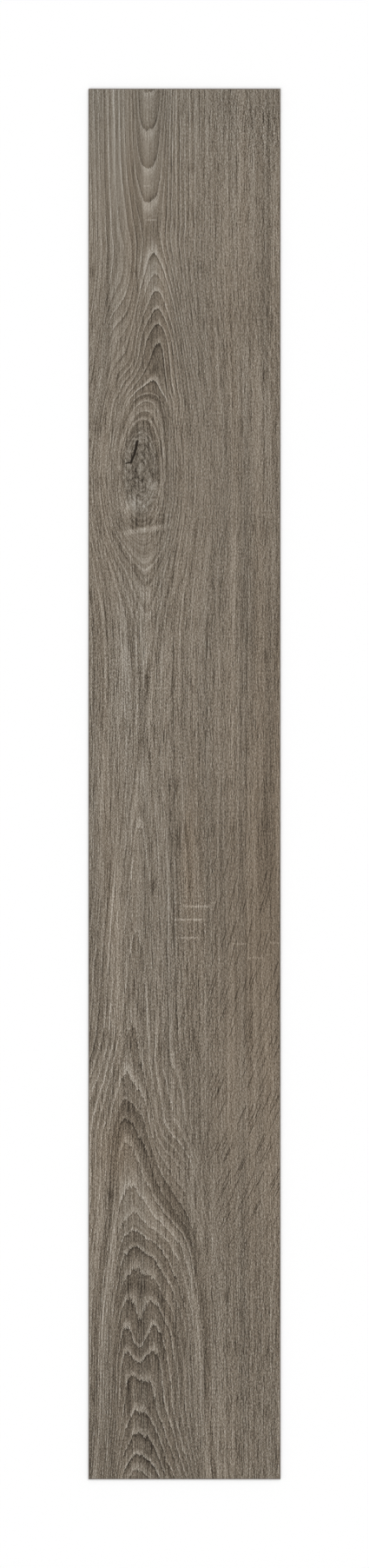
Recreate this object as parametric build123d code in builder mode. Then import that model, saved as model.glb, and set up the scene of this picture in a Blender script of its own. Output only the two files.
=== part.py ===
"""Vinyl floor plank of the glue-down kind: one flat slab with a fine bevel all round its wear face.

The plank lies on its back. X runs across it, Y along it and Z up through its thickness, and the
origin is at the middle of the back. All sizes are in millimetres.
"""

import os

from build123d import *

# Driving dimensions
LENGTH = 1219.2  # 48 in, the commonest stock length
WIDTH = 168.4
THICKNESS = 2.5
BEVEL_WIDTH = 0.7  # how far the bevel reaches in over the wear face
BEVEL_DEPTH = 0.4  # how far it reaches down the cut edge

# The slab is the die-cut outline, raised from the back to the wear face.
with BuildPart() as plank:
    with BuildSketch(Plane.XY) as cut_outline:
        Rectangle(WIDTH, LENGTH)
    extrude(amount=THICKNESS)

    # The bevel is wider than it is deep and is mitred at the four corners.
    wear_face = plank.faces().sort_by(Axis.Z)[-1]
    chamfer(wear_face.edges(), length=BEVEL_WIDTH, length2=BEVEL_DEPTH, reference=wear_face)

plank.part.label = "plank"

os.makedirs("parts", exist_ok=True)
export_step(plank.part, "parts/plank.step")
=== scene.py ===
"""Wood-effect vinyl floor plank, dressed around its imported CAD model.

The frame is in metres. A place on the wear face is given in millimetres from the plank's middle, x across it
to the right and y along it to the far end, because that is the plan the grain is drawn on. The slow part of
the grain, such as the run of its rings, is worked out at each vertex and stored there. The fine part is
drawn by nodes from what is stored, once for the print and once for the press that gives the wear face its
relief.
"""

import logging
import math
from collections.abc import Mapping
from dataclasses import dataclass, field, replace
from enum import Enum
from functools import reduce
from typing import Any

import bpy
import numpy as np
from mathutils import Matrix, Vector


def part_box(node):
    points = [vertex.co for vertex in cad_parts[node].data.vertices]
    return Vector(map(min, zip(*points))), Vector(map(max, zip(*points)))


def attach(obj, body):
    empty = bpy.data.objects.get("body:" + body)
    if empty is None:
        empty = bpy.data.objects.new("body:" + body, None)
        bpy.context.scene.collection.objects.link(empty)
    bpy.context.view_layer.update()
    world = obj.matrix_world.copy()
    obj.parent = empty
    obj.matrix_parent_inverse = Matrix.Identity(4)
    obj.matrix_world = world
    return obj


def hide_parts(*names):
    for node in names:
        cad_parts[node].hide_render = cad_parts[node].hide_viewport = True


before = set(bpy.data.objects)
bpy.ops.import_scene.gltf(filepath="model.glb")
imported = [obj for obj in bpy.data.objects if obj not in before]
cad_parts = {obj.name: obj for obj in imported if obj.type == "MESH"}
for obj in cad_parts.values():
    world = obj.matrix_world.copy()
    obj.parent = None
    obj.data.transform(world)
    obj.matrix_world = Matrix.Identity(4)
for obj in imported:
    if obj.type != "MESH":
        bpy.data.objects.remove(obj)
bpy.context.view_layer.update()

LOG = logging.getLogger("floor_plank")
MM = 0.001
PHOTO_SIZE = (425, 1804)  # width and height of the photograph, in pixels
PLANK_IN_PHOTO = 1600  # length of the plank there, in pixels
BAKE_MAP = "OFBake"  # the map that the export bakes the finishes on
BAKE_SIDE = 1024  # and how many pixels it has along each side
RING_WIDTH = 5.0  # a ring counts as this many millimetres, for the noises that follow the rings
NOISE_STEP = (17.3, 7.9)  # how far apart the noises' seeds lie across and along, in cells
DASH_STEP = (11.7, 5.3)  # and those of the scattered dashes
CRISP_SHIFT = 0.76  # how far the copy that makes a noise crisp is shifted, in cells
CRISP_SHARE = 0.8  # and how much of it is taken away

Station = tuple[float, float]
Spot = tuple[float, float]
Colour = tuple[float, float, float, float]


def srgb(red: int, green: int, blue: int) -> Colour:
    """Turns a colour as a screen shows it into the linear one that a shader takes.

    Args:
        red: Red from 0 to 255.
        green: Green from 0 to 255.
        blue: Blue from 0 to 255.

    Returns:
        The linear colour, with full alpha.
    """
    shares = (level / 255 for level in (red, green, blue))
    linear = [s / 12.92 if s <= 0.04045 else ((s + 0.055) / 1.055) ** 2.4 for s in shares]
    return (linear[0], linear[1], linear[2], 1.0)


def ease(values: np.ndarray, low: float, high: float) -> np.ndarray:
    """Climbs smoothly from 0 to 1.

    Args:
        values: What it climbs along.
        low: Where it leaves 0.
        high: Where it reaches 1.

    Returns:
        The share between the two, eased at both ends.
    """
    share = np.clip((values - low) / (high - low), 0.0, 1.0)
    return share * share * (3.0 - 2.0 * share)


def hill(x: np.ndarray, y: np.ndarray, place: Spot, reach: Spot) -> np.ndarray:
    """Raises a hill that is 1 at its place and falls to about a third at its reach, across and along."""
    return np.exp(-(((x - place[0]) / reach[0]) ** 2) - ((y - place[1]) / reach[1]) ** 2)


def through(at: np.ndarray, stations: tuple[Station, ...]) -> np.ndarray:
    """Runs a smooth curve through given stations, without overshooting any.

    Args:
        at: Where on the curve, in the stations' own units.
        stations: Places along it and the value at each.

    Returns:
        The curve's values there.
    """
    places, values = np.array(sorted(stations), dtype=float).T
    steps = np.diff(places)
    slopes = np.diff(values) / steps
    turning = slopes[:-1] * slopes[1:] <= 0
    both = np.where(turning, 1.0, slopes[:-1] + slopes[1:])
    inner = np.where(turning, 0.0, 2.0 * slopes[:-1] * slopes[1:] / both)
    tangents = np.concatenate([slopes[:1], inner, slopes[-1:]])
    at = np.clip(at, places[0], places[-1])
    run = np.clip(np.searchsorted(places, at, side="right") - 1, 0, len(steps) - 1)
    share = (at - places[run]) / steps[run]
    climb = values[run + 1] - values[run]
    leave = tangents[run] * steps[run]
    reach = tangents[run + 1] * steps[run]
    curve = 3.0 * climb - 2.0 * leave - reach + share * (leave + reach - 2.0 * climb)
    return values[run] + share * (leave + share * curve)


class Value:
    """A node's output, on which Python's operators add Math nodes."""

    def __init__(self, bench: "Bench", socket: bpy.types.NodeSocket | None) -> None:
        """Keeps the socket and the bench that its tree is built on."""
        self.bench = bench
        self.socket = socket

    def _math(self, operation: str, *operands: "Value | float") -> "Value":
        """Adds one Math node on these operands."""
        return self.bench.node("ShaderNodeMath", {"operation": operation}, dict(enumerate(operands)))

    def __add__(self, other: "Value | float") -> "Value":
        """Sum."""
        return self._math("ADD", self, other)

    def __radd__(self, other: float) -> "Value":
        """Sum with a number on the left."""
        return self._math("ADD", other, self)

    def __sub__(self, other: "Value | float") -> "Value":
        """Difference."""
        return self._math("SUBTRACT", self, other)

    def __rsub__(self, other: float) -> "Value":
        """Difference from a number on the left."""
        return self._math("SUBTRACT", other, self)

    def __mul__(self, other: "Value | float") -> "Value":
        """Product."""
        return self._math("MULTIPLY", self, other)

    def __rmul__(self, other: float) -> "Value":
        """Product with a number on the left."""
        return self._math("MULTIPLY", other, self)

    def __truediv__(self, other: "Value | float") -> "Value":
        """Quotient."""
        return self._math("DIVIDE", self, other)

    def __rtruediv__(self, other: float) -> "Value":
        """Quotient of a number on the left."""
        return self._math("DIVIDE", other, self)

    def __abs__(self) -> "Value":
        """The value without its sign."""
        return self._math("ABSOLUTE", self)

    def root(self) -> "Value":
        """Square root."""
        return self._math("SQRT", self)

    def part(self) -> "Value":
        """What is left of the value above the whole number below it."""
        return self._math("FRACT", self)

    def most(self, other: "Value | float") -> "Value":
        """The larger of two values."""
        return self._math("MAXIMUM", self, other)

    def least(self, other: "Value | float") -> "Value":
        """The smaller of two values."""
        return self._math("MINIMUM", self, other)

    def rise(self, low: float, high: float) -> "Value":
        """Climbs smoothly from 0 to 1.

        Args:
            low: Where it leaves 0.
            high: Where it reaches 1.

        Returns:
            The share between the two, eased at both ends.
        """
        settings = {"interpolation_type": "SMOOTHSTEP"}
        sockets = {"Value": self, "From Min": low, "From Max": high}
        return self.bench.node("ShaderNodeMapRange", settings, sockets)


class Stored(Enum):
    """What the plan of the board stores at each vertex, by the attribute's name."""

    FIBRE = "fibre"  # place across the fibres, in millimetres
    RING = "ring_level"  # growth rings counted out from the heart
    RAGGED = "ring_ragged"  # how ragged their edges are
    SHOWN = "ring_shown"  # how strongly they show
    PLAIN = "plain_grain"  # 1 where the grain is straight and plain
    LEAN = "lean"  # place across the leaning pores, in millimetres
    LEANING = "leaning_pores"  # how many pores lean
    HEART = "knot_heart"  # 1 in the knot
    TONE = "slow_tone"  # lighter above 0
    WARMTH = "slow_warmth"  # browner above 0
    GRIT = "grit"  # how strong the finest grain is


@dataclass(frozen=True)
class Layer:
    """One noise, or one scatter of dashes, of which the grain is made."""

    cell: Spot  # size of one cell across and along, in millimetres
    seed: int  # shifts the pattern, so that two layers differ
    weight: float = 1.0  # how strongly it counts
    detail: float = 0.0  # how many finer octaves are laid over it


class Bench:
    """Adds nodes to one node tree, of a material or of a mesh modifier."""

    def __init__(self, tree: bpy.types.NodeTree) -> None:
        """Takes the tree that the nodes go into."""
        self.tree = tree

    def node(
        self,
        kind: str,
        settings: Mapping[str, Any] | None = None,
        sockets: Mapping[int | str, Any] | None = None,
        output: int | str = 0,
    ) -> Value:
        """Adds one node.

        Args:
            kind: The node's type.
            settings: Its properties, set first. A ramp takes its stops by their places.
            sockets: Values or links of its inputs, by number or by identifier.
            output: The output that is wanted, by number or by identifier.

        Returns:
            That output.
        """
        made = self.tree.nodes.new(kind)
        for name, setting in (settings or {}).items():
            if name == "stops":
                self._set_stops(made.color_ramp, setting)
            else:
                setattr(made, name, setting)
        for key, given in (sockets or {}).items():
            socket = self._pick(made.inputs, key)
            if isinstance(given, Value):
                self.tree.links.new(given.socket, socket)
            else:
                socket.default_value = given
        return Value(self, self._pick(made.outputs, output) if made.outputs else None)

    @staticmethod
    def _pick(sockets: Any, key: int | str) -> bpy.types.NodeSocket:
        """Finds one of a node's sockets by its number or its identifier."""
        return sockets[key] if isinstance(key, int) else next(one for one in sockets if one.identifier == key)

    @staticmethod
    def _set_stops(ramp: bpy.types.ColorRamp, stops: Mapping[float, Colour]) -> None:
        """Gives a colour ramp its colours.

        Args:
            ramp: The ramp.
            stops: Each colour, by its place from 0 to 1.
        """
        while len(ramp.elements) < len(stops):
            ramp.elements.new(1.0)
        for element, (place, colour) in zip(ramp.elements, sorted(stops.items())):
            element.position = place
            element.color = colour

    def stored(self, what: Stored) -> Value:
        """Reads what the plan stored at the vertices.

        Args:
            what: Which of the plan's values.

        Returns:
            The value at the place that is drawn.
        """
        if isinstance(self.tree, bpy.types.GeometryNodeTree):
            return self.node("GeometryNodeInputNamedAttribute", {"data_type": "FLOAT"}, {"Name": what.value})
        return self.node("ShaderNodeAttribute", {"attribute_name": what.value}, {}, "Fac")

    def plan(self, place: Value) -> tuple[Value, Value, Value]:
        """Splits a place in metres into millimetres across, along and up."""
        across, along, up = (self.node("ShaderNodeSeparateXYZ", {}, {0: place}, axis) for axis in "XYZ")
        return across / MM, along / MM, up / MM

    def cells(self, across: Value, along: Value, layer: Layer, step: Spot) -> dict[str, Any]:
        """Lays out the cells of a pattern.

        Args:
            across: Place across the pattern, in millimetres.
            along: Place along it, in millimetres.
            layer: The layer that it draws.
            step: How far apart two seeds lie, in cells.

        Returns:
            What goes into the pattern's sockets.
        """
        x, y = (at / cell + layer.seed * by for at, cell, by in zip((across, along), layer.cell, step))
        place = self.node("ShaderNodeCombineXYZ", {}, {"X": x, "Y": y})
        return {"Vector": place, "Scale": 1.0, "Detail": layer.detail}

    def noise(self, across: Value, along: Value, layer: Layer) -> Value:
        """Adds a stretched noise that swings about 0, from about -1 to 1, at a place in millimetres."""
        sockets = self.cells(across, along, layer, NOISE_STEP)
        return self.node("ShaderNodeTexNoise", {"noise_dimensions": "2D"}, sockets) * 2.0 - 1.0

    def crisp(self, across: Value, along: Value, layer: Layer) -> Value:
        """Adds a noise of fine lines only, by taking a copy away that is shifted by most of a line."""
        beside = across + layer.cell[0] * CRISP_SHIFT
        return self.noise(across, along, layer) - self.noise(beside, along, layer) * CRISP_SHARE

    def dashes(self, across: Value, along: Value, layer: Layer) -> Value:
        """Scatters thin dashes, and measures the distance to the nearest one's middle, in cells."""
        sockets = self.cells(across, along, layer, DASH_STEP)
        return self.node("ShaderNodeTexVoronoi", {"voronoi_dimensions": "2D", "feature": "F1"}, sockets)

    def mix(
        self,
        factor: Value | float,
        under: Value | Colour,
        over: Value | Colour,
        blend: str = "MIX",
    ) -> Value:
        """Lays one colour over another.

        Args:
            factor: How much of the upper colour shows.
            under: The lower colour.
            over: The upper colour.
            blend: How the two meet.

        Returns:
            The mixed colour.
        """
        settings = {"data_type": "RGBA", "blend_type": blend, "clamp_factor": True}
        sockets = {"Factor_Float": factor, "A_Color": under, "B_Color": over}
        return self.node("ShaderNodeMix", settings, sockets, "Result_Color")


@dataclass(frozen=True)
class RingPlan:
    """Where the growth rings run on the wear face, as stations along the plank.

    Each field of stations lists places along the plank and a value there: the middle line of the arches, how
    many rings deep that line lies, the rings' spacing beside it in millimetres, how square and how round the
    arches are, how strongly they show and how ragged their edges are.
    """

    centre: tuple[Station, ...] = (
        (610, -31), (560, -32), (500, -30), (450, -25.5), (415, -23.2), (380, -22.5), (335, -30), (275, -38),
        (180, -34), (-15, -37), (-100, -40), (-213, -46), (-250, -52), (-305, -54.5), (-335, -52),
        (-381, -46), (-411, -41.5), (-495, -40), (-610, -40),
    )
    depth: tuple[Station, ...] = (
        (610, -3.1), (540, -1), (484, 0.5), (466, 0), (417, -3), (387, -5), (347, -6), (333, -7),
        (274, -7.5), (229, -6), (183, -2.5), (137, -0.7), (60, -0.1), (-61, -1.2), (-213, -3), (-254, -4),
        (-314, -7), (-352, -8), (-378, -9), (-407, -11), (-433, -12.5), (-455, -13.8), (-474, -14.9),
        (-498, -15.9), (-517, -16.5), (-547, -17), (-568, -18), (-587, -19), (-610, -20.5),
    )
    spacing: tuple[Station, ...] = (
        (610, 4.7), (450, 4.8), (400, 5.6), (345, 6.6), (300, 6.0), (0, 5.8), (-120, 6.2), (-260, 6.2),
        (-320, 4.9), (-460, 4.2), (-610, 4.0),
    )
    squareness: tuple[Station, ...] = ((610, 4.0), (500, 4.0), (470, 2.0), (-610, 2.0))
    roundness: tuple[Station, ...] = (  # in millimetres
        (610, 8), (380, 7.5), (320, 15), (260, 18), (205, 8), (150, 7), (30, 11),
        (-213, 12), (-275, 24), (-330, 28), (-405, 42), (-470, 34), (-530, 27), (-610, 25),
    )
    contrast: tuple[Station, ...] = (
        (610, 0.65), (500, 0.75), (430, 0.95), (370, 1.1), (345, 0.9), (325, 0.55), (270, 0.5), (215, 0.28),
        (150, 0.22), (60, 0.22), (-60, 0.42), (-213, 0.55), (-290, 0.7), (-410, 0.95), (-610, 1.0),
    )
    raggedness: tuple[Station, ...] = (
        (610, 0.35), (380, 0.45), (300, 0.6), (-150, 0.8), (-300, 1.0), (-610, 1.0),
    )
    shade: tuple[Station, ...] = (  # how light each ring of the lower arches is
        (-22, -0.09), (-15, -0.11), (-12, -0.08), (-10, -0.02), (-8.6, 0.02), (-7.6, 0.08), (-7.0, -0.01),
        (-6.2, -0.13), (-5.2, -0.12), (-4.4, -0.02), (-3.4, 0.03), (-2.6, 0.0), (-1.8, 0.0), (-0.9, 0.05),
        (0, 0.03), (1.2, 0.0), (4, -0.02), (24, -0.02),
    )
    shade_reach: Spot = (-40.0, 30.0)  # they begin here along the plank
    rest_line: float = -37.0  # where the middle line would run if it did not sway
    sway_left: Spot = (7.0, 34.0)  # from here to there the sway dies out to the left
    sway_right: Spot = (10.0, 45.0)  # and to the right
    left_reach: Spot = (11.0, 57.0)  # the arches lose some of their depth to the left
    left_loss: tuple[Station, ...] = (
        (610, 0.9), (380, 0.85), (300, 0.6), (200, 0.45), (-60, 0.45), (-130, 0.12), (-300, 0.12),
        (-400, 0.45), (-610, 0.45),
    )
    left_pinch: tuple[Station, ...] = (  # above 1, they lose it nearer the middle line
        (610, 2.2), (490, 2.0), (465, 1.6), (380, 1.1), (250, 1.0), (-610, 1.0),
    )
    left_crowd: tuple[Station, ...] = ((610, 0.15), (380, 0.25), (300, 0.2), (200, 0.0), (-610, 0.0))
    crowd_from: float = -14.0  # the rings crowd closer together to the left of here
    right_reach: Spot = (14.0, 59.0)  # and all of it to the right
    right_pinch: tuple[Station, ...] = (
        (610, 2.0), (500, 2.0), (475, 1.0), (420, 1.0), (350, 0.72), (290, 1.0), (-290, 0.95),
        (-345, 0.58), (-400, 0.45), (-610, 0.42),
    )
    plain_reach: Spot = (24.0, 66.0)  # the rings fade into plain straight grain there
    plain_contrast: float = 0.22
    burl: Spot = (-52.0, 351.0)  # a small swirl beside the knot
    burl_reach: Spot = (9.0, 15.0)
    burl_rings: float = 0.7
    dip: Spot = (-39.5, -484.0)  # where the low arches sag into a double peak
    dip_reach: Spot = (9.5, 36.0)
    dip_rings: float = 1.95

    def beside(self, x: np.ndarray, y: np.ndarray) -> np.ndarray:
        """Measures how far places lie to the right of the arches' middle line.

        Args:
            x: Places across, in millimetres.
            y: Places along, in millimetres.

        Returns:
            The distances, in millimetres.
        """
        off = x - self.rest_line
        sway = through(y, self.centre) - self.rest_line
        return off - sway * (1.0 - ease(off, *self.sway_right) - ease(-off, *self.sway_left))

    def level(self, x: np.ndarray, y: np.ndarray, beside: np.ndarray) -> np.ndarray:
        """Counts the growth rings out from the heart.

        Args:
            x: Places across, in millimetres.
            y: Places along, in millimetres.
            beside: Distances from the arches' middle line.

        Returns:
            The rings' numbers, with the share of the way to the next.
        """
        round_off = through(y, self.roundness)
        power = through(y, self.squareness)
        out = (abs(beside) ** power + round_off**power) ** (1.0 / power) - round_off
        out += np.maximum(self.crowd_from - beside, 0.0) * through(y, self.left_crowd)
        to_left = ease(-beside * through(y, self.left_pinch), *self.left_reach) * through(y, self.left_loss)
        to_right = 1.0 - ease(beside * through(y, self.right_pinch), *self.right_reach)
        burl = hill(x, y, self.burl, self.burl_reach) * self.burl_rings
        dip = hill(x, y, self.dip, self.dip_reach) * self.dip_rings
        deep = through(y, self.depth) * (1.0 - to_left) * to_right
        return out / through(y, self.spacing) + deep - burl + dip

    def shaded(self, y: np.ndarray, level: np.ndarray) -> np.ndarray:
        """Tells how much lighter or darker the rings of the lower arches are."""
        return through(level, self.shade) * ease(-y, *self.shade_reach)

    def shown(self, y: np.ndarray, beside: np.ndarray) -> np.ndarray:
        """Tells how strongly the rings show, from 0 to 1."""
        plain = ease(beside, *self.plain_reach) * (1.0 - self.plain_contrast)
        return through(y, self.contrast) * (1.0 - plain)


@dataclass(frozen=True)
class Knot:
    """The oval knot, which the grain flows round, and the crack in it."""

    place: Spot = (-38.5, 274.0)
    half_size: Spot = (17.0, 41.0)
    ring_reach: Spot = (20.0, 44.0)
    rings: float = 8.5
    flow_reach: Spot = (52.0, 100.0)
    flow: float = 0.62  # how far the fibres are pushed aside in front of the knot's middle
    crack: tuple[Spot, ...] = ((-41.5, 300.5), (-43.8, 289.5), (-46.9, 282.0), (-51.4, 281.2))
    crack_half_width: float = 1.1
    crack_thinning: float = 0.22  # the share of its width that it loses from one run to the next
    crack_edge: Spot = (0.5, 1.4)  # where its edge starts and ends, in half widths
    heart_edge: Spot = (0.55, 1.25)  # where the dark body fades out, in squared half sizes

    def sunk(self, x: np.ndarray, y: np.ndarray) -> np.ndarray:
        """Tells how many rings deep the knot sinks the plan."""
        return hill(x, y, self.place, self.ring_reach) * self.rings

    def fibre(self, x: np.ndarray, y: np.ndarray) -> np.ndarray:
        """Places across the fibres, which part round the knot and close again behind it."""
        aside = hill(x, y, self.place, self.flow_reach) * self.flow
        return (x - self.place[0]) * (1.0 - aside)

    def heart(self, x: np.ndarray, y: np.ndarray) -> np.ndarray:
        """Masks the knot's dark body, from 0 to 1."""
        out = ((x - self.place[0]) / self.half_size[0]) ** 2 + ((y - self.place[1]) / self.half_size[1]) ** 2
        return 1.0 - ease(out, *self.heart_edge)

    def cracked(self, x: Value, y: Value) -> Value:
        """Masks the crack, from 0 to 1.

        Args:
            x: Place across, in millimetres.
            y: Place along, in millimetres.

        Returns:
            1 inside the crack, thinning out along its runs.
        """
        runs = []
        for count, ((ax, ay), (bx, by)) in enumerate(zip(self.crack, self.crack[1:])):
            run_x, run_y = bx - ax, by - ay
            share = ((x - ax) * run_x + (y - ay) * run_y) / (run_x**2 + run_y**2)
            share = share.most(0.0).least(1.0)
            off_x = x - ax - share * run_x
            off_y = y - ay - share * run_y
            width = self.crack_half_width * (1.0 - self.crack_thinning * count)
            low, high = (width * share for share in self.crack_edge)
            runs.append(1.0 - (off_x * off_x + off_y * off_y).root().rise(low, high))
        return reduce(Value.most, runs)


@dataclass(frozen=True)
class Patch:
    """A soft-edged patch where the board is lighter, browner, grittier or more clearly ringed, or less so."""

    place: Spot
    reach: Spot
    tone: float = 0.0
    warmth: float = 0.0
    grit: float = 0.0
    ring: float = 0.0


@dataclass(frozen=True)
class BoardPlan:
    """The slow part of the grain: where its rings and fibres run, and where its colour changes."""

    rings: RingPlan = field(default_factory=RingPlan)
    knot: Knot = field(default_factory=Knot)
    plain_reach: Spot = (20.0, 62.0)  # from the arches' middle line to the plain straight grain
    lean_line: tuple[Station, ...] = (  # the line that the leaning pores follow, as places along and across
        (610, 180), (60, 16), (-61, -17), (-152, -42), (-229, -68), (-312, -104), (-390, -142), (-610, -250),
    )
    lean_across: Spot = (6.0, 34.0)  # where the leaning pores begin across the plank
    lean_from: Spot = (20.0, 110.0)  # and where they begin and end along it
    lean_to: Spot = (350.0, 450.0)
    knot_shade: float = 0.1  # how dark the knot is
    knot_rim: float = 1.4  # above 1, it is darkest inside its rim
    knot_calm: float = 0.5  # how much weaker the rings show in it
    knot_cool: float = 0.7  # and how much greyer it is
    patches: tuple[Patch, ...] = (
        Patch((-24.8, 378.0), (15.0, 44.0), tone=-0.12),  # inside the arches above the knot
        Patch((-25.0, 372.0), (7.0, 30.0), tone=-0.06),  # darkest in their middle
        Patch((-75.0, 530.0), (22.0, 130.0), tone=0.04, warmth=-0.3),  # the far left corner
        Patch((-44.6, 526.0), (7.0, 110.0), tone=-0.09),  # the dark and pale bands beside the far arches
        Patch((-59.0, 520.0), (9.0, 140.0), tone=0.07),
        Patch((-22.5, 560.0), (5.0, 90.0), tone=-0.06),
        Patch((-31.0, 580.0), (4.5, 60.0), tone=0.06),
        Patch((-70.0, 545.0), (1.6, 60.0), tone=-0.12),  # a dark line
        Patch((-67.3, 440.0), (1.6, 60.0), tone=-0.12),  # and one below it
        Patch((0.0, 540.0), (26.0, 110.0), ring=0.7),  # rings that show far out on both sides there
        Patch((-70.0, 540.0), (24.0, 90.0), ring=0.3),
        Patch((0.0, 470.0), (40.0, 50.0), tone=0.04),  # a paler stretch right of the arches
        Patch((40.0, 550.0), (60.0, 60.0), tone=0.025),  # and the far right
        Patch((-58.0, -20.0), (32.0, 190.0), tone=0.04),  # the pale left side
        Patch((-55.0, 95.0), (9.0, 60.0), tone=0.025, warmth=-0.45),  # and a cool streak in it
        Patch((-35.4, 64.0), (4.0, 38.0), tone=0.09),  # and a pale one
        Patch((0.0, -370.0), (28.0, 75.0), tone=-0.05),  # the dark grain right of the lower arches
        Patch((0.0, -545.0), (28.0, 60.0), tone=0.035),  # paler at the near end
        Patch((-31.0, 450.0), (7.0, 18.0), tone=0.1, warmth=-0.4),  # a pale tip on the arches above the knot
        Patch((-33.0, 485.0), (10.0, 18.0), tone=-0.05),  # and the dark gap over it
        Patch((70.0, 575.0), (26.0, 22.0), grit=0.5),  # the gritty far right corner
        Patch((7.5, -110.0), (4.5, 140.0), tone=-0.06),  # a dark streak down the middle
        Patch((7.0, -350.0), (8.0, 55.0), tone=0.06),  # a pale one below it
        Patch((-35.0, 140.0), (5.0, 38.0), tone=0.06),  # where the fibres close behind the knot
        Patch((84.0, 10.0), (26.0, 190.0), tone=-0.06, warmth=0.5),  # the right edge
        Patch((70.0, 420.0), (34.0, 50.0), tone=-0.05),  # and a dark patch beside it
        Patch((66.0, -160.0), (38.0, 190.0), tone=-0.015, warmth=0.9),  # the brown lower right
        Patch((-58.0, -320.0), (15.0, 28.0), warmth=1.3),  # the brown ring of the lower arches
        Patch((2.7, -64.0), (5.0, 45.0), tone=0.02, warmth=1.0),  # a brown streak
        Patch((-20.0, 610.0), (120.0, 60.0), warmth=-0.7),  # the far end
        Patch((-30.0, -560.0), (120.0, 150.0), warmth=-0.1),  # the near end
        Patch((-50.0, 540.0), (45.0, 90.0), grit=-0.65),  # the smooth grain of the far arches
        Patch((-76.0, 400.0), (26.0, 70.0), ring=-0.5),  # where the lines draw apart above the knot
        Patch((-35.0, 385.0), (40.0, 75.0), grit=-0.2),  # and the smooth grain there
        Patch((-35.0, 75.0), (60.0, 75.0), grit=0.3),  # coarse grain in the middle
        Patch((5.0, -180.0), (25.0, 130.0), grit=0.2),  # and down from it
        Patch((66.0, -160.0), (34.0, 140.0), grit=-0.12),  # the smoother lower right
        Patch((50.0, -490.0), (60.0, 120.0), tone=-0.03, grit=0.25),  # the gritty near right corner
        Patch((-45.0, -215.0), (40.0, 80.0), tone=-0.02, grit=0.2),  # the legs of the lower arches
        Patch((-65.0, 345.0), (28.0, 52.0), ring=-0.5),  # fine curly grain beside the knot
        Patch((-46.0, 343.0), (13.0, 15.0), tone=-0.03, ring=0.7),  # and its dark fringe
        Patch((-38.5, 212.0), (8.0, 28.0), grit=-0.5),  # smooth grain below the knot
        Patch((-44.0, 244.0), (10.0, 6.5), tone=0.24),  # pale blotches in the knot
        Patch((-28.0, 262.0), (6.5, 8.0), tone=0.16),
        Patch((-25.0, 288.0), (8.0, 20.0), tone=-0.035),  # its dark right half
        Patch((-38.0, 312.0), (10.0, 9.0), tone=0.06),  # and its paler top
        Patch((-40.0, 230.0), (9.0, 6.0), tone=-0.15),  # a dark blotch under the pale ones
    )

    def values(self, x: np.ndarray, y: np.ndarray) -> dict[Stored, np.ndarray]:
        """Works the plan out.

        Args:
            x: Places across, in millimetres.
            y: Places along, in millimetres.

        Returns:
            Each of the plan's values at those places.
        """
        beside = self.rings.beside(x, y)
        level = self.rings.level(x, y, beside) - self.knot.sunk(x, y)
        heart = self.knot.heart(x, y)
        hills = [(patch, hill(x, y, patch.place, patch.reach)) for patch in self.patches]
        leaning = ease(x, *self.lean_across) * ease(-y, *self.lean_from) * (1.0 - ease(-y, *self.lean_to))
        ringed = 1.0 + sum(patch.ring * share for patch, share in hills)
        tone = self.rings.shaded(y, level) - heart * (self.knot_rim - heart) * self.knot_shade
        return {
            Stored.FIBRE: self.knot.fibre(x, y),
            Stored.RING: level,
            Stored.RAGGED: through(y, self.rings.raggedness),
            Stored.SHOWN: self.rings.shown(y, beside) * (1.0 - heart * self.knot_calm) * ringed,
            Stored.PLAIN: ease(beside, *self.plain_reach),
            Stored.LEAN: x - through(y, self.lean_line),
            Stored.LEANING: leaning,
            Stored.HEART: heart,
            Stored.TONE: tone + sum(patch.tone * share for patch, share in hills),
            Stored.WARMTH: sum(patch.warmth * share for patch, share in hills) - heart * self.knot_cool,
            Stored.GRIT: 1.0 + sum(patch.grit * share for patch, share in hills),
        }


@dataclass(frozen=True)
class Fleck:
    """One pale ray fleck that lies across the grain."""

    x: float
    y: float
    half_length: float
    half_height: float = 0.8
    strength: float = 1.0
    tilt: float = 0.0  # how much it climbs to the right
    taper: float = 0.4  # the share of its half length after which it fades
    edge: Spot = (1.5, 0.3)  # where its long edges end and begin to fade, in half heights

    def shown(self, x: Value, y: Value) -> Value:
        """Masks the fleck.

        Args:
            x: Place across, in millimetres.
            y: Place along, in millimetres.

        Returns:
            The fleck's strength in its middle, falling to 0 around it.
        """
        beside = x - self.x
        low, high = (self.half_height * share for share in self.edge)
        along = abs(beside).rise(self.half_length, self.half_length * self.taper)
        across = abs(y - self.y - beside * self.tilt).rise(low, high)
        return along * across * self.strength


@dataclass
class Grain:
    """What the wood grain gives at a place on the wear face.

    Fields:
        tone: Lightness, about 0 where the board has its mean colour.
        warmth: From cool grey below 0 to brown above it.
        relief: Pressed depth, from 0 at the top of the wear face to 1 in the deepest groove.
    """

    tone: Value
    warmth: Value
    relief: Value


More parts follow.
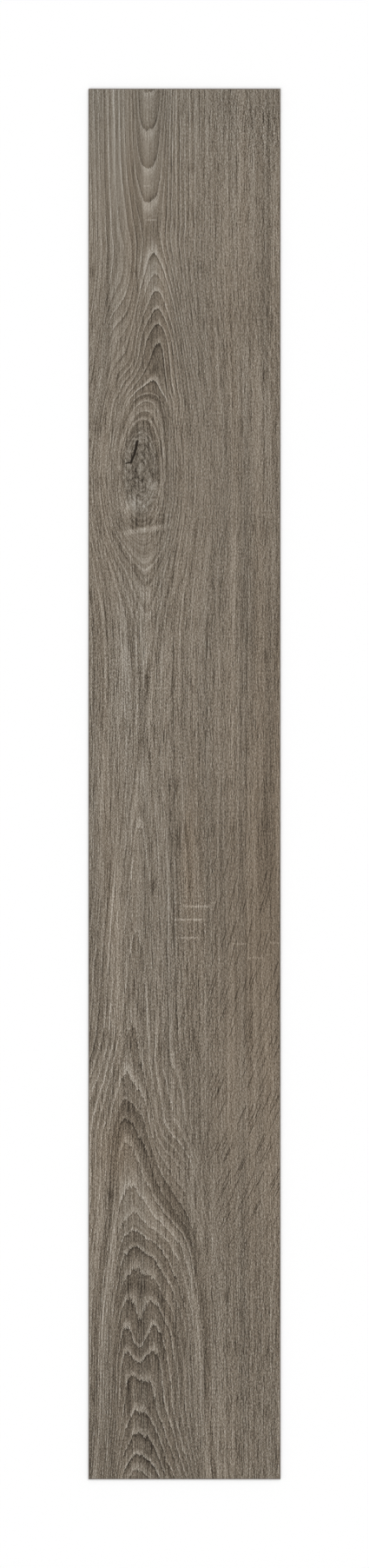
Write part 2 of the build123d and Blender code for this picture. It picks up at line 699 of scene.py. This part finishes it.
@dataclass(frozen=True)
class RingPrint:
    """How a growth ring is printed: it starts pale and sandy, and darkens to a crisp line."""

    ragged: Layer = Layer((1.9, 24.0), 6, 0.15, 1.0)  # frays the rings' edges
    speck_fray: float = 0.045  # and so does the finest noise
    vary: Layer = Layer((6.0, 120.0), 14, 0.6)  # makes some rings stronger than others
    start: float = 0.16
    fall: float = 0.42  # how much a ring darkens on its way out
    band_end: Spot = (0.08, 0.34)  # where on that way its pale band ends
    band_tone: float = 0.58
    band_speck: float = 0.35  # how much the finest noise breaks the band up
    line_start: Spot = (0.82, 0.97)  # where on that way its dark line begins
    line_tone: float = 0.46

    def draw(self, bench: Bench, y: Value, fibre: Value, level: Value, speck: Value) -> Value:
        """Draws the growth rings.

        Args:
            bench: Where the nodes go.
            y: Place along, in millimetres.
            fibre: Place across the fibres, in millimetres.
            level: Rings counted out from the heart.
            speck: The finest noise.

        Returns:
            The rings' lightness, about 0 in the mean.
        """
        uneven = bench.stored(Stored.RAGGED)
        fray = bench.noise(fibre, y, self.ragged) * self.ragged.weight + speck * self.speck_fray
        phase = (level + fray * uneven).part()
        band = 1.0 - phase.rise(*self.band_end)
        line = phase.rise(*self.line_start)
        vary = bench.noise(level * RING_WIDTH, y, self.vary) * self.vary.weight + 1.0
        ring = self.start - phase * self.fall + band * (speck * uneven * self.band_speck + self.band_tone)
        return (ring - line * self.line_tone) * vary * bench.stored(Stored.SHOWN)


@dataclass(frozen=True)
class Pores:
    """The pores: dark dashes along the grain, and leaning ones across its lower right."""

    dense: Layer = Layer((5.0, 120.0), 7, 0.06)  # where they are broader
    upright: Layer = Layer((1.6, 34.0), 1, 0.8)
    upright_sway: float = 0.5  # how far they sway, in millimetres
    upright_edge: Spot = (0.22, 0.14)  # where their edges start and end, in cells
    hair: Layer = Layer((2.6, 90.0), 15, 0.6)  # long fine ones between them
    hair_edge: Spot = (0.1, 0.02)
    lean: Layer = Layer((2.4, 60.0), 2)
    lean_sway: float = 0.4
    lean_edge: Spot = (0.2, 0.15)
    thinned: float = 0.6  # how much weaker the upright ones are where others lean

    def draw(self, bench: Bench, y: Value, fibre: Value) -> Value:
        """Scatters the pores.

        Args:
            bench: Where the nodes go.
            y: Place along, in millimetres.
            fibre: Place across the fibres, in millimetres.

        Returns:
            1 in a pore, and 0 between them.
        """
        leaning = bench.stored(Stored.LEANING)
        dense = bench.noise(fibre, y, self.dense)
        upright = bench.dashes(fibre + dense * self.upright_sway, y, self.upright)
        lean = bench.dashes(bench.stored(Stored.LEAN) + dense * self.lean_sway, y, self.lean)
        upright = (upright - dense * self.dense.weight).rise(*self.upright_edge)
        lean = (lean - dense * self.dense.weight).rise(*self.lean_edge)
        hair = abs(bench.noise(fibre, y, self.hair)).rise(*self.hair_edge)
        along = upright * self.upright.weight + hair * self.hair.weight
        return along * (1.0 - leaning * self.thinned) + lean * leaning


@dataclass(frozen=True)
class WoodGrain:
    """The fine part of the grain: growth rings, fibres, pores, the knot's mottling and ray flecks."""

    plan: BoardPlan = field(default_factory=BoardPlan)
    rings: RingPrint = field(default_factory=RingPrint)
    pores: Pores = field(default_factory=Pores)
    flecks: tuple[Fleck, ...] = (
        Fleck(11.0, -107.4, 16.5, 1.0, 1.15),  # below the plank's middle
        Fleck(4.2, -118.9, 19.0, 0.95, 1.15),
        Fleck(3.4, -134.9, 12.5, 0.95, 0.95),
        Fleck(47.6, -140.2, 8.4, 0.8, 0.75),  # and to the right of those
        Fleck(78.9, -139.4, 6.5, 0.8, 0.65),
        Fleck(61.3, -152.4, 11.0, 0.8, 0.55),
        Fleck(-33.1, 524.3, 4.5, 0.6, 0.6),  # on the far arches
        Fleck(-30.1, 494.5, 6.5, 0.7, 0.7),
        Fleck(-34.0, 223.0, 26.0, 2.4, tilt=0.17),  # a broad pale lens below the knot
    )
    wobble: Layer = Layer((9.0, 60.0), 10, 0.25, 1.0)  # the rings sway with it
    streak: Layer = Layer((2.0, 190.0), 2, 0.2, 1.0)  # long streaks that follow the rings
    strand: Layer = Layer((2.4, 190.0), 13, 0.12, 1.0)  # and ones that follow the fibres
    broad: Layer = Layer((11.0, 260.0), 1, 0.06)
    fine: Layer = Layer((1.0, 14.0), 3, 0.125)  # the fibres of the ringed grain
    plain_fine: Layer = Layer((1.0, 7.0), 16)  # and of the plain grain
    speck: Layer = Layer((1.0, 1.0), 4, 0.175)
    sand: Layer = Layer((1.6, 1.9), 17, 0.225, 1.0)
    mottle: Layer = Layer((2.4, 4.4), 9, 0.34, 2.0)  # in the knot
    mottle_shade: float = 0.03  # how much darker it leaves the knot
    knot_calm: float = 0.5  # how much weaker the fibres are in the knot
    streak_most: float = 1.15  # how strong the streaks are where no rings show
    streak_calm: float = 0.5  # how much weaker where they do
    plain_calm: float = 0.75  # and how much weaker in plain grain
    plain_strand: float = 0.04  # how much stronger the strands are there
    ring_weight: float = 0.29
    pore_weight: float = 0.235
    crack_weight: float = 0.75
    fleck_weight: float = 0.2
    fleck_fibre: float = 0.1  # how much the fibres show through the flecks
    lift: float = 0.053  # brings the mean of it all to the board's own tone
    broad_warmth: float = 0.5
    press_mean: float = 0.4  # how deep the wear face is pressed where the grain is even
    press_share: float = 0.3  # how much of the rings and streaks is pressed

    def draw(self, bench: Bench, place: Value) -> Grain:
        """Draws the grain.

        Args:
            bench: Where the nodes go.
            place: Place on the plank, in metres.

        Returns:
            Its tone, warmth and relief.
        """
        x, y, _ = bench.plan(place)
        fibre = bench.stored(Stored.FIBRE)
        plain = bench.stored(Stored.PLAIN)
        heart = bench.stored(Stored.HEART)
        wobble = bench.noise(fibre, y, self.wobble) * bench.stored(Stored.RAGGED)
        level = bench.stored(Stored.RING) + wobble * self.wobble.weight
        speck = bench.crisp(x, y, self.speck)
        fine = bench.crisp(fibre, y, self.fine) * (1.0 - plain) * (1.0 - heart * self.knot_calm)
        fine = fine + bench.crisp(fibre, y, self.plain_fine) * plain
        streak = bench.noise(level * RING_WIDTH, y, self.streak)
        strand = bench.noise(fibre, y, self.strand)
        broad = bench.noise(fibre, y, self.broad)
        ring = self.rings.draw(bench, y, fibre, level, speck)
        pore = self.pores.draw(bench, y, fibre)
        crack = self.plan.knot.cracked(x, y)
        fleck = reduce(Value.most, [one.shown(x, y) for one in self.flecks])

        sand = bench.noise(x, y, self.sand)
        grit = fine * self.fine.weight + speck * self.speck.weight + sand * self.sand.weight
        grit = (grit - pore * self.pore_weight) * bench.stored(Stored.GRIT)
        mottle = bench.noise(x, y, self.mottle) * self.mottle.weight - self.mottle_shade
        calm = self.streak_most - bench.stored(Stored.SHOWN) * self.streak_calm
        calm = calm * (1.0 - plain * self.plain_calm)
        tone = ring * self.ring_weight + grit - crack * self.crack_weight
        tone = tone + streak * calm * self.streak.weight
        tone = tone + strand * (plain * self.plain_strand + self.strand.weight)
        tone = tone + broad * self.broad.weight + mottle * heart
        tone = tone + fleck * (fine * self.fleck_fibre + self.fleck_weight)
        tone = tone + bench.stored(Stored.TONE) + self.lift
        warmth = bench.stored(Stored.WARMTH) + broad * self.broad_warmth
        relief = self.press_mean - (ring + streak) * self.press_share + crack
        return Grain(tone, warmth, relief.most(0.0).least(1.0))


def new_material(name: str) -> tuple[bpy.types.Material, Bench]:
    """Starts an empty material.

    Args:
        name: The material's name.

    Returns:
        The material and the bench for its nodes.
    """
    material = bpy.data.materials.new(name)
    material.use_nodes = True
    material.node_tree.nodes.clear()
    return material, Bench(material.node_tree)


def finish_material(bench: Bench, sockets: Mapping[str, Any]) -> None:
    """Ends a material with its shader, which takes these sockets, and its output."""
    shader = bench.node("ShaderNodeBsdfPrincipled", {}, sockets)
    bench.node("ShaderNodeOutputMaterial", {}, {"Surface": shader})


@dataclass(frozen=True)
class PrintedWear:
    """The wear face: a printed grey-brown board under a matt clear coat."""

    grain: WoodGrain
    name: str = "printed_wear_face"
    tones: tuple[Colour, ...] = (
        srgb(33, 25, 17),
        srgb(74, 65, 54),
        srgb(117, 106, 92),
        srgb(152, 143, 130),
        srgb(188, 180, 169),
    )
    cool: Colour = (0.955, 1.0, 1.045, 1.0)
    warm: Colour = (1.045, 1.0, 0.955, 1.0)
    roughness: float = 0.55
    gloss: float = 0.15
    sheen: float = 0.2  # how much smoother the pale grain is
    bump_depth: float = 0.06 * MM

    def printed(self, bench: Bench, place: Value) -> tuple[Value, Grain]:
        """Prints the board's picture.

        Args:
            bench: Where the nodes go.
            place: Place on the plank, in metres.

        Returns:
            The printed colour, and the grain that it was printed from.
        """
        grain = self.grain.draw(bench, place)
        stops = {n / (len(self.tones) - 1): colour for n, colour in enumerate(self.tones)}
        ramp = bench.node("ShaderNodeValToRGB", {"stops": stops}, {"Fac": grain.tone + 0.5})
        tint = bench.mix(grain.warmth * 0.5 + 0.5, self.cool, self.warm)
        return bench.mix(1.0, ramp, tint, "MULTIPLY"), grain

    def make(self) -> bpy.types.Material:
        """Builds the material.

        Returns:
            The finished material.
        """
        material, bench = new_material(self.name)
        colour, grain = self.printed(bench, bench.node("ShaderNodeTexCoord", {}, {}, "Object"))
        sockets = {
            "Base Color": colour,
            "Roughness": self.roughness - grain.tone * self.sheen,
            "Specular IOR Level": self.gloss,
            "Normal": bench.node("ShaderNodeBump", {}, {"Distance": self.bump_depth, "Height": grain.tone}),
        }
        finish_material(bench, sockets)
        return material


@dataclass(frozen=True)
class PlainVinyl:
    """Plain vinyl, as on the painted bevel, the cut edges and the back."""

    name: str
    dark: Colour
    light: Colour
    cell: Spot  # size of its mottling across and along, in millimetres
    roughness: float = 0.6
    gloss: float = 0.25
    uneven: float = 0.1  # how much the roughness changes
    bump_depth: float = 0.03 * MM
    mottle: Layer = Layer((1.0, 1.0), 11, 0.6, 3.0)  # with the cells given above
    mottle_slant: Spot = (1.7, 2.3)  # how it shifts with height, so that upright edges show it too
    chalk: Layer = Layer((0.5, 0.5), 12, 0.35, 1.0)  # fine grains of filler
    chalk_slant: Spot = (2.9, 1.3)

    def make(self) -> bpy.types.Material:
        """Builds the material.

        Returns:
            The finished material.
        """
        material, bench = new_material(self.name)
        x, y, z = bench.plan(bench.node("ShaderNodeTexCoord", {}, {}, "Object"))
        (mottle_x, mottle_y), (chalk_x, chalk_y) = self.mottle_slant, self.chalk_slant
        mottle = bench.noise(x + z * mottle_x, y + z * mottle_y, replace(self.mottle, cell=self.cell))
        chalk = bench.noise(x + z * chalk_x, y + z * chalk_y, self.chalk)
        shade = mottle * self.mottle.weight + chalk * self.chalk.weight + 0.5
        height = {"Distance": self.bump_depth, "Height": chalk + mottle}
        sockets = {
            "Base Color": bench.mix(shade, self.dark, self.light),
            "Roughness": self.roughness + chalk * self.uneven,
            "Specular IOR Level": self.gloss,
            "Normal": bench.node("ShaderNodeBump", {}, height),
        }
        finish_material(bench, sockets)
        return material


class Surface(Enum):
    """The plank's surfaces, numbered as its material slots are."""

    WEAR_FACE = 0
    BEVEL = 1
    CUT_EDGE = 2
    BACK = 3


@dataclass(frozen=True)
class BakeSheet:
    """Where each surface lies on the map that the export bakes, in that map's pixels."""

    gap: float = 6.0
    strips: int = 3  # the wear face is cut across into as many, laid side by side
    long_rows: int = 4  # the long sides of the bevel and the cut edge come first, one to a row
    row: float = 10.0  # from one narrow strip to the next
    row_height: float = 7.0
    back_low: float = 56.0
    face_low: float = 206.0

    def along_scale(self, half: Spot) -> float:
        """Tells how many pixels of the map a millimetre gets where the plank's length fills its width."""
        return (BAKE_SIDE - 2 * self.gap) / (2 * half[1])

    def wear_face(self, x: np.ndarray, y: np.ndarray, middle: np.ndarray, half: Spot) -> np.ndarray:
        """Lays out the wear face.

        Args:
            x: The corners' places across, in millimetres.
            y: The corners' places along.
            middle: Along, the middle of the face that each corner belongs to.
            half: Half the wear face's width and length.

        Returns:
            The corners' places on the map.
        """
        length = 2 * half[1] / self.strips
        scale = (BAKE_SIDE - (self.strips + 1) * self.gap) / (self.strips * 2 * half[0])
        strip = np.clip((middle + half[1]) // length, 0, self.strips - 1)
        across = self.gap + strip * (2 * half[0] * scale + self.gap) + (x + half[0]) * scale
        return np.stack([across, self.face_low + (y + half[1] - strip * length) * scale], 1)

    def back(self, x: np.ndarray, y: np.ndarray, half: Spot) -> np.ndarray:
        """Lays out the back, from the corners' places in millimetres to their places on the map."""
        scale = self.along_scale(half)
        return np.stack([self.gap + (y + half[1]) * scale, self.back_low + (x + half[0]) * scale], 1)

    def strip(self, along: np.ndarray, height: np.ndarray, row: int, column: int, half: Spot) -> np.ndarray:
        """Lays out one side of the bevel or of the cut edge.

        Args:
            along: The corners' places along the strip, in millimetres.
            height: Their share of its height.
            row: The strip's row on the map.
            column: Its place in that row, counted in widths of the plank.
            half: Half the plank's width and length.

        Returns:
            The corners' places on the map.
        """
        scale = self.along_scale(half)
        start = self.gap + column * (2 * half[0] * scale + self.gap)
        reach = half[1] if row < self.long_rows else half[0]
        low = self.gap / 2 + row * self.row
        return np.stack([start + (along + reach) * scale, low + height * self.row_height], 1)


@dataclass
class FloorPlank:
    """The plank: one sheet of vinyl with a pressed wear face, a fine bevel, cut edges and a plain back."""

    grain: WoodGrain
    name: str = "pressed_plank"
    node: str = "plank"
    body: str = "root"
    slot: str = "printed_vinyl"
    cell: Spot = (0.7 * MM, 3.2 * MM)  # size of the wear face's mesh cells
    pressed_depth: float = 0.12 * MM
    rim: float = 1.5 * MM  # the pressing runs out over this distance from the bevel
    tuck: float = 0.002 * MM  # how far the cut edges stay inside the CAD box
    level: float = 0.01 * MM  # heights that differ by less count as one
    weld: float = 0.001 * MM  # vertices that lie closer together are merged
    crease_angle: float = math.radians(18)
    sheet: BakeSheet = field(default_factory=BakeSheet)
    outer: Spot = field(init=False)  # half the plank's width and length
    inner: Spot = field(init=False)  # and the wear face's, inside the bevel
    top: float = field(init=False)
    shoulder: float = field(init=False)  # height of the bevel's lower edge
    bottom: float = field(init=False)

    def __post_init__(self) -> None:
        """Reads the plank's sizes from the CAD node."""
        corners = np.array([vertex.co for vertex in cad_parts[self.node].data.vertices])
        low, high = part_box(self.node)
        self.outer = (high.x - self.tuck, high.y - self.tuck)
        self.top = high.z
        self.bottom = low.z
        on_top = np.isclose(corners[:, 2], self.top, atol=self.level)
        self.inner = (corners[on_top, 0].max(), corners[on_top, 1].max())
        self.shoulder = corners[~on_top, 2].max()

    def build(self) -> bpy.types.Object:
        """Models the plank and dresses it.

        Returns:
            The finished piece.
        """
        piece = self._lay_wear_face()
        self._fold_down()
        self._store_plan(piece)
        self._press(piece)
        self._dress(piece)
        self._map(piece)
        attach(piece, self.body)
        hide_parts(self.node)
        return piece

    def _lay_wear_face(self) -> bpy.types.Object:
        """Lays the wear face as a grid of fine cells inside the bevel.

        Returns:
            The new piece.
        """
        columns, rows = (round(2 * half / cell) for half, cell in zip(self.inner, self.cell))
        rows -= rows % self.sheet.strips
        bpy.ops.object.select_all(action="DESELECT")
        grid = {"x_subdivisions": columns, "y_subdivisions": rows, "size": 2.0, "calc_uvs": False}
        bpy.ops.mesh.primitive_grid_add(location=(0.0, 0.0, self.top), **grid)
        piece = bpy.context.object
        piece.name = piece.data.name = self.name
        bpy.ops.object.transform_apply(location=True, rotation=True, scale=True)
        bpy.ops.object.mode_set(mode="EDIT")
        bpy.ops.transform.resize(value=(self.inner[0], self.inner[1], 1.0), center_override=(0.0, 0.0, 0.0))
        bpy.ops.object.mode_set(mode="OBJECT")
        return piece

    def _fold_down(self) -> None:
        """Extrudes the wear face's rim into the bevel and the cut edges, and closes the back."""
        bpy.ops.object.mode_set(mode="EDIT")
        bpy.ops.mesh.select_mode(type="EDGE")
        bpy.ops.mesh.select_all(action="SELECT")
        bpy.ops.mesh.region_to_loop()
        drop = {"value": (0.0, 0.0, self.shoulder - self.top)}
        bpy.ops.mesh.extrude_region_move(TRANSFORM_OT_translate=drop)
        spread = (self.outer[0] / self.inner[0], self.outer[1] / self.inner[1], 1.0)
        bpy.ops.transform.resize(value=spread, center_override=(0.0, 0.0, 0.0))
        drop = {"value": (0.0, 0.0, self.bottom - self.shoulder)}
        bpy.ops.mesh.extrude_region_move(TRANSFORM_OT_translate=drop)
        bpy.ops.mesh.fill(use_beauty=True)
        bpy.ops.mesh.select_all(action="SELECT")
        bpy.ops.mesh.remove_doubles(threshold=self.weld)
        bpy.ops.mesh.normals_make_consistent(inside=False)
        bpy.ops.object.mode_set(mode="OBJECT")

    def _store_plan(self, piece: bpy.types.Object) -> None:
        """Stores the plan of the board at the vertices.

        Args:
            piece: The plank.
        """
        x, y, _ = self._read(piece.data.vertices, "co", 3).T / MM
        for what, values in self.grain.plan.values(x, y).items():
            kept = piece.data.attributes.new(what.value, "FLOAT", "POINT")
            kept.data.foreach_set("value", values.astype(np.float32))

    def _press(self, piece: bpy.types.Object) -> None:
        """Presses the grain into the wear face, in register with its print.

        Args:
            piece: The plank.
        """
        group = bpy.data.node_groups.new("pressed_grain", "GeometryNodeTree")
        for way in ("INPUT", "OUTPUT"):
            group.interface.new_socket("Geometry", in_out=way, socket_type="NodeSocketGeometry")
        bench = Bench(group)
        place = bench.node("GeometryNodeInputPosition")
        x, y, z = bench.plan(place)
        inside = (self.inner[0] / MM - abs(x)).least(self.inner[1] / MM - abs(y)).rise(0.0, self.rim / MM)
        on_top = z.rise((self.shoulder + self.top) / 2 / MM, self.top / MM)
        pressed = self.grain.draw(bench, place).relief * inside * on_top * -self.pressed_depth
        offset = bench.node("ShaderNodeCombineXYZ", {}, {"Z": pressed})
        sockets = {"Geometry": bench.node("NodeGroupInput"), "Offset": offset}
        bench.node("NodeGroupOutput", {}, {0: bench.node("GeometryNodeSetPosition", {}, sockets)})
        press = piece.modifiers.new("press", "NODES")
        press.node_group = group
        bpy.ops.object.modifier_apply(modifier=press.name)
        bpy.ops.object.shade_smooth_by_angle(angle=self.crease_angle)

    def _dress(self, piece: bpy.types.Object) -> None:
        """Gives each surface its finish.

        Args:
            piece: The plank.
        """
        finishes = {
            Surface.WEAR_FACE: PrintedWear(self.grain),
            Surface.BEVEL: PlainVinyl("painted_bevel", srgb(88, 80, 70), srgb(110, 101, 90), (0.8, 30.0)),
            Surface.CUT_EDGE: PlainVinyl("cut_vinyl_edge", srgb(92, 90, 86), srgb(122, 119, 114), (9.0, 9.0)),
            Surface.BACK: PlainVinyl("vinyl_back", srgb(110, 107, 102), srgb(135, 132, 126), (14.0, 40.0)),
        }
        for surface in Surface:
            piece.data.materials.append(finishes[surface].make())
        middles = self._read(piece.data.polygons, "center", 3) / MM
        normals = self._read(piece.data.polygons, "normal", 3)
        worn = np.full(len(middles), Surface.WEAR_FACE.value)
        past_rim = (abs(middles[:, 0]) > self.inner[0] / MM) | (abs(middles[:, 1]) > self.inner[1] / MM)
        worn[past_rim] = Surface.BEVEL.value
        worn[middles[:, 2] < self.shoulder / MM] = Surface.CUT_EDGE.value
        worn[normals[:, 2] < -0.5] = Surface.BACK.value
        piece.data.polygons.foreach_set("material_index", worn)
        piece.data.update()

    def _map(self, piece: bpy.types.Object) -> None:
        """Lays the surfaces out side by side for the export's bake.

        Args:
            piece: The plank.
        """
        mesh = piece.data
        sides = self._read(mesh.polygons, "loop_total")
        middle = np.repeat(self._read(mesh.polygons, "center", 3) / MM, sides, axis=0)
        normal = np.repeat(self._read(mesh.polygons, "normal", 3), sides, axis=0)
        surface = np.repeat(self._read(mesh.polygons, "material_index"), sides)
        vertices = self._read(mesh.loops, "vertex_index")
        x, y, z = self._read(mesh.vertices, "co", 3)[vertices].T / MM
        inner = tuple(half / MM for half in self.inner)
        outer = tuple(half / MM for half in self.outer)
        places = np.zeros((len(vertices), 2))
        worn = surface == Surface.WEAR_FACE.value
        places[worn] = self.sheet.wear_face(x[worn], y[worn], middle[worn, 1], inner)
        behind = surface == Surface.BACK.value
        places[behind] = self.sheet.back(x[behind], y[behind], outer)
        heights = {Surface.BEVEL: (self.shoulder, self.top), Surface.CUT_EDGE: (self.bottom, self.shoulder)}
        long_side = abs(normal[:, 0]) > abs(normal[:, 1])
        for number, (band, (low, high)) in enumerate(heights.items()):
            share = (z * MM - low) / (high - low)
            for turn, way in enumerate((-1, 1)):
                ours = (surface == band.value) & long_side & (normal[:, 0] * way > 0)
                places[ours] = self.sheet.strip(y[ours], share[ours], 2 * number + turn, 0, outer)
                ours = (surface == band.value) & ~long_side & (normal[:, 1] * way > 0)
                row, column = self.sheet.long_rows, 2 * number + turn
                places[ours] = self.sheet.strip(x[ours], share[ours], row, column, outer)
        layer = mesh.uv_layers.new(name=BAKE_MAP)
        layer.data.foreach_set("uv", (places / BAKE_SIDE).astype(np.float32).ravel())

    @staticmethod
    def _read(parts: Any, name: str, width: int = 1) -> np.ndarray:
        """Reads one property of all the vertices, corners or faces of a mesh.

        Args:
            parts: The mesh's vertices, corners or faces.
            name: The property.
            width: How many numbers each has.

        Returns:
            A row for each.
        """
        found = np.empty(len(parts) * width, dtype=int if width == 1 else float)
        parts.foreach_get(name, found)
        return found.reshape(-1, width) if width > 1 else found


@dataclass
class Studio:
    """A white floor and soft light from all sides."""

    sky: float = 0.45  # share of the light that comes from all round
    lamps: tuple[tuple[float, float, float], ...] = (  # how each leans about X and Y, and its share of light
        (-24.0, 22.0, 0.3), (26.0, -20.0, 0.25),
    )
    lamp_width: float = math.radians(50)
    floor_half: float = 60.0
    floor_drop: float = 0.02 * MM
    white: Colour = (1.0, 1.0, 1.0, 1.0)

    def build(self) -> None:
        """Makes the floor, the lamps and the sky."""
        self._lay_floor()
        for number, lamp in enumerate(self.lamps, 1):
            self._hang_lamp(f"soft_lamp_{number}", *lamp)
        self._light_sky()

    def _lay_floor(self) -> None:
        """Lays the floor just under the plank."""
        bpy.ops.object.select_all(action="DESELECT")
        bpy.ops.mesh.primitive_plane_add(size=2 * self.floor_half, location=(0.0, 0.0, -self.floor_drop))
        floor = bpy.context.object
        floor.name = "studio_floor"
        material, bench = new_material("white_floor")
        finish_material(bench, {"Base Color": self.white, "Roughness": 1.0, "Specular IOR Level": 0.0})
        floor.data.materials.append(material)

    def _hang_lamp(self, name: str, lean_x: float, lean_y: float, share: float) -> None:
        """Hangs one wide soft lamp.

        Args:
            name: The lamp's name.
            lean_x: How far it leans about X, in degrees.
            lean_y: How far it leans about Y, in degrees.
            share: Its share of the light on the wear face.
        """
        bpy.ops.object.light_add(type="SUN", rotation=(math.radians(lean_x), math.radians(lean_y), 0.0))
        lamp = bpy.context.object
        lamp.name = name
        lamp.data.angle = self.lamp_width
        lamp.data.energy = share * math.pi / (math.cos(math.radians(lean_x)) * math.cos(math.radians(lean_y)))

    def _light_sky(self) -> None:
        """Lights the sky evenly, and shows it white to the camera and in reflections."""
        world = bpy.data.worlds.new("studio_sky")
        bpy.context.scene.world = world
        world.use_nodes = True
        world.node_tree.nodes.clear()
        bench = Bench(world.node_tree)
        rays = ("Is Camera Ray", "Is Glossy Ray", "Is Transmission Ray")
        seen = reduce(Value.most, [bench.node("ShaderNodeLightPath", {}, {}, ray) for ray in rays])
        glow = seen * (1.0 - self.sky) + self.sky
        sky = bench.node("ShaderNodeBackground", {}, {"Color": self.white, "Strength": glow})
        bench.node("ShaderNodeOutputWorld", {}, {"Surface": sky})


@dataclass
class PhotoCamera:
    """The camera of the photograph, straight above the plank."""

    lens: float = 120.0
    sensor: float = 36.0

    def build(self, plank: FloorPlank) -> None:
        """Hangs the camera where the plank fills as much of the picture as in the photograph.

        Args:
            plank: The plank that it looks down on.
        """
        seen_height = 2 * plank.outer[1] * PHOTO_SIZE[1] / PLANK_IN_PHOTO
        height = plank.top + seen_height * self.lens / self.sensor
        bpy.ops.object.camera_add(location=(0.0, 0.0, height), rotation=(0.0, 0.0, 0.0))
        camera = bpy.context.object
        camera.name = "photo_camera"
        camera.data.lens = self.lens
        camera.data.sensor_width = self.sensor
        camera.data.clip_end = 4 * height
        bpy.context.scene.camera = camera


def main() -> None:
    """Builds the plank, the studio and the camera."""
    logging.basicConfig(level=logging.INFO, format="%(name)s: %(message)s")
    bpy.context.scene.view_settings.view_transform = "Standard"
    plank = FloorPlank(WoodGrain())
    piece = plank.build()
    LOG.info("%s: %d faces", piece.name, len(piece.data.polygons))
    Studio().build()
    PhotoCamera().build(plank)


if __name__ == "__main__":
    main()
